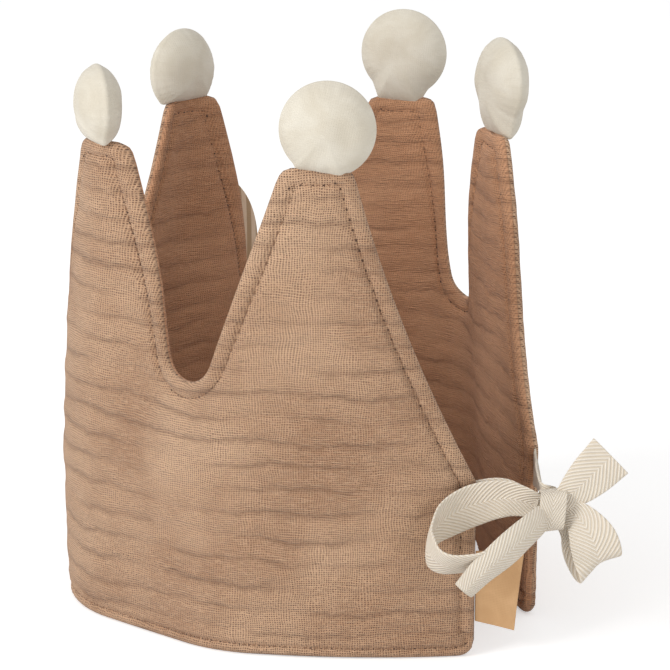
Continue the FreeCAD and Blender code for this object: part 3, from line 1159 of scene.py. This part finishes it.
@dataclass
class Topstitching:
    """Row of stitches round both faces, each a thread between two needle holes, which are dark beads of
    painted shade.
    """

    wall: PaddedWall
    thread_finish: bpy.types.Material
    hole_shade_finish: bpy.types.Material
    thread_size: Triple = (0.95, 0.24, 0.2)
    hole_size: Triple = (0.5, 0.36, 0.16)

    def places(self) -> tuple[Array, Array]:
        """Stitch places on the flat cloth, and the way each one runs.

        Returns:
            The middle of each stitch, and its direction.
        """
        points = self.wall.pattern.outline()
        closed = np.vstack([points, points[:1]])
        run = walked(closed)
        line = rows_at(closed, run, np.arange(0, run[-1], 0.5))
        ahead = unit(np.roll(line, -4, axis=0) - np.roll(line, 4, axis=0))
        inward = np.column_stack([ahead[:, 1], -ahead[:, 0]])
        path = line + inward * self.wall.inset(line[:, 1])[:, None]
        gap, _ = self.wall.pattern.edge_distance(path[:, 0], path[:, 1])
        path = path[gap > self.wall.inset(path[:, 1]) - 0.25]
        closed = np.vstack([path, path[:1]])
        run = walked(closed)
        count = int(run[-1] / self.wall.stitch_pitch)
        spots = rows_at(closed, run, (np.arange(count) + 0.5) * run[-1] / count)
        ways = unit(np.roll(spots, -1, axis=0) - np.roll(spots, 1, axis=0))
        return spots, ways

    def bead(self, size: Triple) -> tuple[Array, Array]:
        """Points and faces of one small bead, for copying.

        Args:
            size: half sizes along, across and proud.

        Returns:
            Points, and faces as rows of three numbers.
        """
        deselect_all()
        bpy.ops.mesh.primitive_ico_sphere_add(subdivisions=1, radius=1)
        seed = bpy.context.object
        points = read_points(seed.data) * np.array(size)
        faces = np.array([list(face.vertices) for face in seed.data.polygons])
        bpy.data.objects.remove(seed)
        return points, faces

    def row(self, name: str, side: Side, size: Triple, offset: float, lift: float) -> bpy.types.Object:
        """All beads of one kind on one face of the wall, as one piece.

        Args:
            name: name of the piece.
            side: face of the wall.
            size: half sizes of a bead: along, across and proud of the cloth.
            offset: distance of the bead from the middle of its stitch.
            lift: height of the bead's middle above the cloth.

        Returns:
            The row of beads.
        """
        spots, ways = self.places()
        spots = spots + ways * offset
        here = self.wall.surface(spots[:, 0], spots[:, 1], side, lift)
        ahead = self.wall.surface(*(spots + ways * 0.4).T, side, lift)
        along = unit(ahead - here)
        plan = self.wall.pattern.plan
        out = -np.array([plan.inward(s) for s in spots[:, 0]]) * side.value
        across = unit(np.cross(out, along))
        out = np.cross(along, across)
        points, faces = self.bead(size)
        placed = (
            here[:, None, :] + points[None, :, 0:1] * along[:, None, :]
            + points[None, :, 1:2] * across[:, None, :] + points[None, :, 2:3] * out[:, None, :]
        )
        shift = np.arange(len(spots))[:, None, None] * len(points)
        corners = (faces[None] + shift).reshape(-1, 3)
        mesh = bpy.data.meshes.new(name)
        mesh.from_pydata((placed.reshape(-1, 3) * MM).tolist(), [], corners.tolist())
        piece = bpy.data.objects.new(name, mesh)
        bpy.context.scene.collection.objects.link(piece)
        turn_faces_out(piece)
        return piece

    def build(self) -> list[bpy.types.Object]:
        """Threads, and dark beads of painted shade at the needle holes, on both faces.

        Returns:
            One piece for each kind and face.
        """
        kinds = (
            ("stitches", self.thread_finish, self.thread_size, 0.0, 0.02),
            # The needle holes are dark beads of painted shade, where the thread pulls the cloth in
            ("needle_hole_shade_beads", self.hole_shade_finish, self.hole_size, self.wall.stitch_pitch / 2, 0.0),
        )
        pieces = []
        for side in Side:
            for kind, finish, size, offset, lift in kinds:
                piece = self.row(f"{side.word}_{kind}", side, size, offset, lift)
                settle(piece, finish)
                pieces.append(piece)
        return pieces


# Stuffed pieces

@dataclass(kw_only=True)
class StuffedForm:
    """Two faces of cotton sewn round a seam and filled, with gathers at the seam."""

    name: str
    node: str
    slot: str
    finish: bpy.types.Material
    pattern: BandPattern
    half_depth: float
    fullness: float = 0.6
    gathers: int = 34
    gather_depth: float = 0.32
    gather_reach: float = 0.2
    seam_ridge: float = 0.35
    ridge_reach: float = 0.02
    dent_share: float = 0.06
    segments: int = 96
    rings: int = 48
    fill: float = 0.8
    seed: int = 5

    def reach(self, turn: Array) -> Array:
        """Distance from the middle to the seam in a direction, in the form's plane."""
        raise NotImplementedError

    def set_down(self, places: Array) -> Array:
        """Places in the form's own frame moved to where it sits."""
        raise NotImplementedError

    def filled(self, ball: Array) -> Array:
        """Points of a ball moved to the filled form, in the form's own frame.

        Args:
            ball: points of a ball whose radius is one.

        Returns:
            The moved points.
        """
        side = np.sign(ball[:, 2])
        turn = np.arctan2(ball[:, 1], ball[:, 0])
        polar = np.arccos(np.clip(np.abs(ball[:, 2]), 0, 1)) / (math.pi / 2)
        spread = np.sin(polar * math.pi / 2) ** 0.9
        swell = np.clip(1 - spread ** 2.3, 0, 1) ** self.fullness
        folds = np.cos(turn * self.gathers + 4.5 * smooth_noise(turn * 3 + 9, polar * 0, self.seed))
        near_seam = np.exp(-((1 - spread) / self.gather_reach) ** 2)
        dents = smooth_noise(ball[:, 0] * 2.4 + 7, ball[:, 1] * 2.4 + side * 5, self.seed + 1)
        depth = self.half_depth * swell * (1 + self.dent_share * dents)
        depth = depth + self.gather_depth * folds * near_seam * (1 - near_seam * 0.6)
        depth = np.clip(depth, 0, None) + np.where(spread > 0.999, 0, 0.05)
        ridge = self.seam_ridge * np.exp(-((1 - spread) / self.ridge_reach) ** 2)
        outward = self.reach(turn) * spread + ridge
        return np.column_stack([outward * np.cos(turn), outward * np.sin(turn), side * depth])

    def build(self) -> bpy.types.Object:
        """The filled form, dressed and fixed to the body.

        Returns:
            The stuffed piece.
        """
        deselect_all()
        bpy.ops.mesh.primitive_uv_sphere_add(segments=self.segments, ring_count=self.rings, radius=1)
        piece = newly_made(self.name)
        local = self.filled(read_points(piece.data))
        write_points(piece.data, self.set_down(local) * MM)
        write_cloth_map(piece.data, local[:, :2] * MM)
        turn_faces_out(piece)
        apply_modifier(piece, "SUBSURF", levels=1, render_levels=1)
        settle(piece, self.finish, self.node)
        return piece


@dataclass(kw_only=True)
class Pompom(StuffedForm):
    """Stuffed disc on a tip, drawn in to its neck. Its yaw and lean are in degrees."""

    tip: int
    radius: float
    rise: float
    half_depth: float = 7.0
    neck: float = 7.0
    yaw: float = 0.0
    lean: float = 0.0
    forward: float = 0.0
    seat: float = 1.3

    def reach(self, turn: Array) -> Array:
        """Round above, and straight to the neck below where the neck is long.

        Args:
            turn: directions in the form's plane, in radians.

        Returns:
            One distance for each direction.
        """
        centre = self.rise - self.radius
        down = np.clip(-np.sin(turn), 1e-6, 1)
        slope = (self.radius - self.neck) / centre
        to_side = self.radius / (np.abs(np.cos(turn)) + down * slope)
        to_side = np.where(np.sin(turn) < 0, to_side, 0)
        return np.minimum(np.maximum(self.radius, to_side), centre / down)

    def set_down(self, places: Array) -> Array:
        """Stands the disc on its tip, facing outwards.

        Args:
            places: places in the form's own frame.

        Returns:
            The moved places.
        """
        plan, along = self.pattern.plan, self.pattern.tip_middle(self.tip)
        foot = plan.place(along, plan.wall / 2 - self.forward, self.pattern.tip_height - self.seat)[0]
        spin, tilt = math.radians(self.yaw), math.radians(self.lean)
        ahead = -plan.inward(along)
        beside = np.cross(UP, ahead)
        out = ahead * math.cos(spin) + beside * math.sin(spin)
        side = beside * math.cos(spin) - ahead * math.sin(spin)
        right = side * math.cos(tilt) + UP * math.sin(tilt)
        up = UP * math.cos(tilt) - side * math.sin(tilt)
        middle = foot + up * (self.rise - self.radius)
        return middle + places[:, 0:1] * right + places[:, 1:2] * up + places[:, 2:3] * out


@dataclass(kw_only=True)
class BadgePad(StuffedForm):
    """Oval pad that lies against the outer face of the middle tip."""

    shift: float
    lift: float
    half_width: float
    half_height: float
    level: float = 98.0
    flatness: float = 0.15

    def reach(self, turn: Array) -> Array:
        """Ellipse."""
        return 1 / np.hypot(np.cos(turn) / self.half_width, np.sin(turn) / self.half_height)

    def set_down(self, places: Array) -> Array:
        """Lays the pad flat on the side towards the wall.

        Args:
            places: places in the form's own frame.

        Returns:
            The moved places.
        """
        plan = self.pattern.plan
        along = self.pattern.tip_middle(self.pattern.tips // 2) + self.shift
        middle = plan.place(along, -self.lift, self.level)[0]
        out = -plan.inward(along)
        side = np.cross(UP, out)
        proud = np.where(places[:, 2] < 0, places[:, 2] * self.flatness, places[:, 2])
        return middle + places[:, 0:1] * side + places[:, 1:2] * UP + proud[:, None] * out


# Tapes

@dataclass(frozen=True)
class TapeRun:
    """One run of tape through listed stations.

    Each station is a place, the way the width stands, and the width, all from the knot's middle.
    """

    stations: tuple[tuple[Triple, Triple, float], ...]
    cup: float = 0.0


@dataclass
class Tape:
    """Twill tape sewn in an end seam, made of its runs to, round and past the knot."""

    name: str
    node: str
    knot: Array
    runs: tuple[TapeRun, ...]
    finish: bpy.types.Material
    thickness: float = 0.8
    width: float = 14.0
    steps: int = 64
    strands: int = 12

    def strip(self, number: int, run: TapeRun) -> tuple[bpy.types.Object, float]:
        """One run as a thick strip, and its length.

        Args:
            number: the run's number in the tape.
            run: the run with its stations.

        Returns:
            The strip, and its length in millimetres.
        """
        rows = [[*place, *across, width] for place, across, width in run.stations]
        rows = through(np.array(rows), self.steps + 1)
        places, across, widths = rows[:, :3] + self.knot, unit(rows[:, 3:6]), rows[:, 6]
        ahead = unit(np.gradient(places, axis=0))
        across = unit(across - ahead * np.sum(across * ahead, axis=1, keepdims=True))
        facing = np.cross(ahead, across)
        length = float(np.sum(np.linalg.norm(np.diff(places, axis=0), axis=1)))

        def shape(share: Array, side: Array) -> tuple[Array, Array]:
            """Place and cloth map of the strip's points.

            Args:
                share: shares of the way along the cloth.
                side: shares of the way across the tape.

            Returns:
                Places, and the cloth map.
            """
            step = np.clip(np.round(share * self.steps).astype(int), 0, self.steps)
            offset = side - 0.5
            cup = run.cup * (1 - (2 * offset) ** 2)
            wave = 0.18 * smooth_noise(share * length / 4, side * 3 + number * 7, 51 + number)
            where = (
                places[step] + across[step] * (offset * widths[step])[:, None]
                + facing[step] * (cup + wave)[:, None]
            )
            return where, np.column_stack([share * length, offset * self.width])

        piece = grid_sheet(f"{self.name}_{number}", self.steps, self.strands, shape)
        apply_modifier(piece, "SOLIDIFY", thickness=self.thickness * MM, offset=0)
        turn_faces_out(piece)
        apply_modifier(piece, "SUBSURF", levels=1, render_levels=1)
        return piece, length

    def build(self) -> bpy.types.Object:
        """All runs as one tape, dressed and fixed to the body.

        Returns:
            The tape.
        """
        made = [self.strip(number, run) for number, run in enumerate(self.runs)]
        piece = join_pieces(self.name, [strip for strip, _ in made])
        settle(piece, self.finish, self.node)
        return piece


@dataclass
class Bow:
    """Both ties, each sewn in an end seam, and the bow that they make between the ends."""

    plan: BandPlan
    finish: bpy.types.Material
    seam_level: float = 50.0
    knot_shift: Triple = (22.0, -10.0, 0.0)
    knot_depth: float = 8.4
    knot_height: float = 12.0
    wrap_width: float = 8.0

    def front_runs(self, lead: Array) -> tuple[TapeRun, ...]:
        """Front tape: its lead from the seam, the left loop and the left tail."""
        x, y, z = lead
        return (
            TapeRun((
                ((x, y, z), (0, 0, 1), 12), ((x * 0.6, y * 0.8, 1.5), (0, 0.2, 1), 11),
                ((-4, 1.5, 0), (0, 0.3, 1), 7),
            )),
            TapeRun((
                ((-3, 1, 0.5), (0, 0.2, 1), 7), ((-13, 3.5, 2.2), (0, 0.1, 1), 11),
                ((-24, 3, 0), (0.1, 0.0, 1), 13.5), ((-33, -1, -4.5), (0.25, -0.1, 1), 14),
                ((-36.5, -7, -9.5), (0.1, -0.45, 1), 14), ((-32, -12, -12.5), (0, -0.75, 0.75), 13.5),
                ((-22, -13, -11.5), (0, -0.8, 0.7), 12.5), ((-12, -9, -7), (0, -0.6, 0.8), 11),
                ((-3, -3, -2.5), (0, -0.2, 1), 8),
            ), cup=0.8),
            TapeRun((
                ((-2, -2, -1), (-0.2, -0.1, 1), 8), ((-8, -9, -4), (-0.4, -0.35, 0.9), 10.5),
                ((-15, -14, -8.5), (-0.5, -0.3, 0.8), 10.5), ((-22, -16.5, -14), (-0.6, -0.2, 0.7), 8.5),
                ((-27, -17, -19.5), (-0.7, -0.1, 0.6), 6.5),
            ), cup=-1.6),
        )

    def wrap(self) -> TapeRun:
        """Turn of tape round the knot.

        Returns:
            The run round the knot.
        """
        ring = []
        for turn in np.linspace(0, 2 * math.pi, 13):
            cosine, sine = math.cos(turn), math.sin(turn)
            across = math.copysign(abs(cosine) ** 0.7, cosine) * self.knot_depth / 2
            up = math.copysign(abs(sine) ** 0.7, sine) * self.knot_height / 2
            ring.append(((0.6 * sine, across, up), (1, 0, 0.12), self.wrap_width))
        return TapeRun(tuple(ring))

    def rear_runs(self, lead: Array) -> tuple[TapeRun, ...]:
        """Rear tape: its lead from the seam, the wrap of the knot, the right loop and the right tail."""
        x, y, z = lead
        return (
            TapeRun((
                ((x, y, z), (0, 0, 1), 12), ((x * 0.5 - 1, y * 0.5, z + 3), (-0.2, 0.1, 1), 11),
                ((-2, 3.5, 3.5), (-0.3, 0.2, 1), 8), ((1, 3.2, 2.5), (0, 0.2, 1), 7),
            )),
            self.wrap(),
            TapeRun((
                ((3, 0.5, -0.5), (0.1, 0, 1), 7), ((8, -2.5, -1.8), (0.5, 0, 0.85), 10),
                ((12, -4.5, -7.5), (0.75, 0, 0.66), 14.5), ((14, -4.2, -14.5), (0.76, 0, 0.65), 15),
                ((13, -1.5, -16.6), (0.76, 0, 0.65), 15), ((10.5, 1.2, -13), (0.74, 0, 0.66), 14),
                ((8, 2.4, -7), (0.6, 0, 0.8), 11), ((3, 2, -1), (0.2, 0, 1), 7),
            )),
            TapeRun((
                ((2.5, -0.5, 2), (-0.5, 0, 0.85), 6), ((7.5, -1.2, 7), (-0.5, 0.05, 0.86), 11),
                ((12.5, -1.0, 12), (-0.45, 0.05, 0.9), 14), ((17.5, 0.2, 16.8), (-0.38, 0.1, 0.92), 15.2),
            ), cup=0.5),
        )

    def build(self) -> list[bpy.types.Object]:
        """Both tapes, from the seams to the tails.

        Returns:
            The front tape and the rear tape.
        """
        plan = self.plan
        front, rear = (plan.place(along, plan.wall / 2, self.seam_level)[0] for along in (0, plan.length))
        knot = front + np.array(self.knot_shift)
        return [
            Tape("front_tie_tape", "front_tie", knot, self.front_runs(front - knot), self.finish).build(),
            Tape("rear_tie_tape", "rear_tie", knot, self.rear_runs(rear - knot), self.finish).build(),
        ]


@dataclass
class SewnLabel:
    """Ribbon folded double, sewn in the front end seam and left bare."""

    wall: PaddedWall
    finish: bpy.types.Material
    length: float = 14.5
    height: float = 22.5
    level: float = 11.0
    bow: float = 2.2
    thickness: float = 0.8

    def build(self) -> bpy.types.Object:
        """The label, bent a little out of the gap.

        Returns:
            The label.
        """
        plan = self.wall.pattern.plan
        start = plan.place(0, plan.wall / 2, self.level)[0]
        inward = plan.inward(0)
        out = np.cross(inward, UP)

        def shape(share: Array, up: Array) -> tuple[Array, Array]:
            """Place and cloth map of the label's points.

            Args:
                share: shares of the way along the cloth.
                up: shares of the way up the cloth.

            Returns:
                Places, and the cloth map.
            """
            run = share * self.length
            drop = share * (2.5 * up - 3.5)
            bend = -self.bow * share ** 2 * (0.4 + 0.6 * up) + 0.5 * np.sin(up * math.pi) * share
            where = start + out * (run * (0.84 + 0.16 * up) + 0.2)[:, None] + inward * bend[:, None]
            where = where + UP * (up * self.height + drop)[:, None]
            return where, np.column_stack([run, up * self.height])

        piece = grid_sheet("label_ribbon", 24, 36, shape)
        apply_modifier(piece, "SOLIDIFY", thickness=self.thickness * MM, offset=0)
        turn_faces_out(piece)
        apply_modifier(piece, "BEVEL", width=0.15 * MM, segments=2)
        settle(piece, self.finish, "label")
        return piece


# Studio

@dataclass
class Studio:
    """White sweep, soft lamps and the camera that took the photograph."""

    plan: BandPlan
    tilt: float = 14.2
    distance: float = 732.0
    height: float = 287.6
    focal_pixels: float = 2551.2
    image_width: int = 670
    photo_shift: tuple[float, float] = (43.0, 2.0)
    floor_glow: float = 0.44
    tent_light: float = 0.62
    aim: Triple = (0.0, 0.0, 0.07)
    # Each lamp has its name, its place and size in metres, and its watts
    lamps: tuple[tuple[str, Triple, float, float], ...] = (
        ("key_lamp", (-1.1, -0.75, 0.75), 0.7, 11.5),
        ("fill_lamp", (0.6, -1.1, 0.3), 0.6, 3.0),
    )

    def camera(self) -> None:
        """Camera in front of the crown, tilted down on its rim."""
        corner = self.plan.corner()
        data = bpy.data.cameras.new("photo_camera")
        data.sensor_width = 36
        data.lens = self.focal_pixels / self.image_width * data.sensor_width
        data.clip_start, data.clip_end = 0.05, 20
        camera = bpy.data.objects.new("photo_camera", data)
        camera.location = (
            (corner[0] - self.photo_shift[0]) * MM,
            (corner[1] - self.photo_shift[1] - self.distance) * MM,
            self.height * MM,
        )
        camera.rotation_euler = (math.radians(90 - self.tilt), 0, 0)
        bpy.context.scene.collection.objects.link(camera)
        bpy.context.scene.camera = camera

    def floor(self) -> None:
        """Plain pale floor that renders white and keeps the shadow."""
        deselect_all()
        bpy.ops.mesh.primitive_plane_add(size=8)
        floor = newly_made("studio_floor")
        # Matt white paper scatters all the light it gets and has no gloss
        material = blank_material("matt_white_paper")
        tree = material.node_tree
        matt = add_node(tree, "BsdfDiffuse", None, {"Color": (0.86, 0.86, 0.86, 1)})
        seen = add_node(tree, "LightPath").outputs["Is Camera Ray"]
        strength = add_node(tree, "Math", MULTIPLY, {0: seen, 1: self.floor_glow})
        glow = add_node(tree, "Emission", None, {"Color": (1, 1, 1, 1), "Strength": strength})
        both = add_node(tree, "AddShader", None, {0: matt, 1: glow})
        add_node(tree, "OutputMaterial", None, {"Surface": both})
        dress(floor, material)

    def lamp(self, name: str, place: Triple, size: float, watts: float) -> None:
        """Square soft lamp that faces the crown.

        Args:
            name: the lamp's name.
            place: its place in metres.
            size: length of its side in metres.
            watts: its power.
        """
        data = bpy.data.lights.new(name, "AREA")
        data.size, data.energy = size, watts
        lamp = bpy.data.objects.new(name, data)
        lamp.location = place
        lamp.rotation_euler = (Vector(self.aim) - Vector(place)).to_track_quat("-Z", "Y").to_euler()
        bpy.context.scene.collection.objects.link(lamp)

    def world(self) -> None:
        """Even white surroundings: the light of a tent, and a white backdrop to the camera."""
        world = bpy.data.worlds.new("light_tent")
        bpy.context.scene.world = world
        world.use_nodes = True
        tree = world.node_tree
        tree.nodes.clear()
        path = add_node(tree, "LightPath").outputs
        seen = path["Is Camera Ray"]
        for ray in ("Is Glossy Ray", "Is Transmission Ray"):
            seen = add_node(tree, "Math", {"operation": "MAXIMUM"}, {0: seen, 1: path[ray]})
        reach = {"Value": seen, "To Min": self.tent_light, "To Max": 1.0}
        strength = add_node(tree, "MapRange", None, reach)
        light = add_node(tree, "Background", None, {"Color": (1, 1, 1, 1), "Strength": strength})
        add_node(tree, "OutputWorld", None, {"Surface": light})

    def build(self) -> None:
        """Camera, floor, lamps and surroundings."""
        self.camera()
        self.floor()
        self.world()
        for row in self.lamps:
            self.lamp(*row)
        bpy.context.scene.view_settings.view_transform = "Standard"


def main() -> None:
    """Builds the crown round its frame and reports each piece."""
    logging.basicConfig(level=logging.INFO, format="%(message)s")
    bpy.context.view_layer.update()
    plan = BandPlan()
    pattern = BandPattern(plan)
    wall = PaddedWall(pattern)
    Studio(plan).build()

    # Double gauze is open and matt: small dark gaps between its threads, soft creases across it, with
    # painted shade along the foot of each crease
    gauze = DoubleGauze().build()
    # The same cloth inside, as a copy with painted shade and warm bounce light in its colours, with
    # shallower gaps and fainter creases
    lining = DoubleGauze(
        "cotton_gauze_lining_painted_shade", light="#d29f7a", middle="#bb8864", dark="#7d543a",
        pit_share=0.5, crease_shade_share=0.12,
    ).build()
    # Poplin is close and smooth, with a few soft creases and hardly a thread to see
    ivory = PlainCotton("ivory_cotton_poplin", "#dcd5c6", "#d0c7b5").build()
    # Twill tape shows slanted ribs that meet in a line, and a soft edge
    tape = HerringboneTape().build()
    # Woven ribbon is flat and even, a little finer than the cloth beside it
    ribbon = PlainCotton("woven_label_ribbon", "#d8ae80", "#c99e70", 0.5).build()
    # Brown cotton stays dark and matt behind the stripes of the pad
    brown = PlainCotton("brown_cotton", "#8b664b", "#6b4a34").build()
    # Striped cotton has even woven stripes along the cloth, a little soft at their edges
    striped = PlainCotton("striped_cotton", "#d6bfa6", "#cbb296", stripe="#a88b69").build()
    # Fleece, thread and needle holes are small and tufted, each in one soft tone; the needle holes' dark
    # tone is painted shade
    fleece = FibreFinish("cotton_wadding", "#e4ddd0", "#cfc6b6").build()
    thread = FibreFinish("sewing_thread", "#9a765a", "#7f5e47", 0.6).build()
    hole = FibreFinish("needle_hole_shade", "#5d4231", "#4a3325", 0.6).build()

    pieces = CrownBand(wall, gauze, lining, fleece).build()
    pieces += Topstitching(wall, thread, hole).build()
    for tip, shape in enumerate((
        {"rise": 27.0, "radius": 14.0, "lean": -11.0},
        {"rise": 24.0, "radius": 12.5, "yaw": -20.0, "lean": 4.0},
        {"rise": 24.0, "radius": 14.0},
        {"rise": 31.5, "radius": 14.7, "lean": 6.0},
        {"rise": 31.5, "radius": 14.0, "yaw": 16.0, "forward": 2.5},
    )):
        pieces.append(Pompom(
            name=f"pompom_{tip + 1}_stuffed", node=f"pompom_{tip + 1}", slot="ivory_cotton",
            finish=ivory, pattern=pattern, tip=tip, seed=6 + tip, **shape,
        ).build())
    pieces.append(BadgePad(
        name="badge_backing_pad", node="badge_backing", slot="brown_cotton", finish=brown,
        pattern=pattern, shift=1.0, lift=0.6, half_depth=2.2, half_width=31.0, half_height=23.0,
    ).build())
    pieces.append(BadgePad(
        name="badge_striped_pad", node="badge_pad", slot="striped_cotton", finish=striped,
        pattern=pattern, shift=17.0, lift=3.6, half_depth=5.6, half_width=27.0, half_height=27.0,
    ).build())
    pieces += Bow(plan, tape).build()
    pieces.append(SewnLabel(wall, ribbon).build())
    for piece in pieces:
        LOG.info("%s: %d faces", piece.name, len(piece.data.polygons))


if __name__ == "__main__":
    main()
